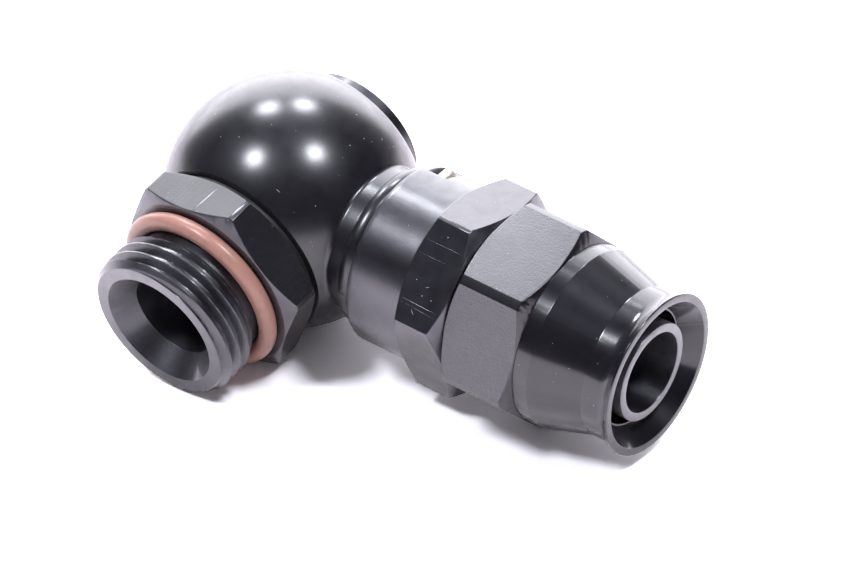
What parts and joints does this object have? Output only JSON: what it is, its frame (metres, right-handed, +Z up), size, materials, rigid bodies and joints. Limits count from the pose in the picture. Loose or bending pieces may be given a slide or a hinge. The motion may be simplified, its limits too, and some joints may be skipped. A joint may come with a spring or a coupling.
{
  "type": "banjo fitting",
  "caption": "Swivelling banjo fitting: port bolt through a ball-shaped body, with a wire-locked swivel hose stem and a flared hose socket nut.",
  "frame": {"origin": "on the surface the part lies on, under the middle of its box", "axes": "+Z up; +X along the hose arm's plan direction, the port arm points to -Y; the part lies on its ball, the end of the port thread and a corner of the socket nut"},
  "size_m": [0.0778, 0.0466, 0.0346],
  "materials": {
    "black_anodised": "black anodised, satin-gloss",
    "pink_rubber": "matt dusty pink",
    "black_rubber": "matt",
    "black_nylon": "matt",
    "brass": "plain"
  },
  "bodies": {
    "bolt": {"banjo_bolt": "black_anodised", "port_o_ring": "pink_rubber", "hex_side_thrust_washer": "black_nylon", "cap_side_thrust_washer": "black_nylon", "bolt_seal_hex_side": "black_rubber", "bolt_seal_cap_side": "black_rubber", "retaining_screw": "black_anodised"},
    "banjo": {"banjo_body": "black_anodised", "swivel_seal_rear": "black_rubber", "swivel_seal_front": "black_rubber"},
    "hose_end": {"hose_stem": "black_anodised", "swivel_wire": "brass"},
    "olive": {"olive": "brass"},
    "socket": {"socket_nut": "black_anodised"}
  },
  "joints": [
    {"name": "banjo_swivel", "type": "hinge", "parent": "bolt", "child": "banjo", "pos_m": [-0.02159, 0.00637, 0.0173], "axis": [-0.0172, -0.9705, -0.2405], "continuous": true},
    {"name": "hose_swivel", "type": "hinge", "parent": "banjo", "child": "hose_end", "pos_m": [-0.02159, 0.00637, 0.0173], "axis": [0.9974, 0, -0.0714], "continuous": true},
    {"name": "olive_slide", "type": "slide", "parent": "hose_end", "child": "olive", "axis": [0.9974, 0, -0.0714], "range_m": [0, 0.00635]},
    {"name": "socket_turn", "type": "hinge", "parent": "olive", "child": "socket", "pos_m": [-0.02159, 0.00637, 0.0173], "axis": [0.9974, 0, -0.0714], "range_deg": [0, 1800]}
  ],
  "couplings": [
    {"joint": "olive_slide", "follows": "socket_turn", "m_per_rad": 0.00020213}
  ]
}
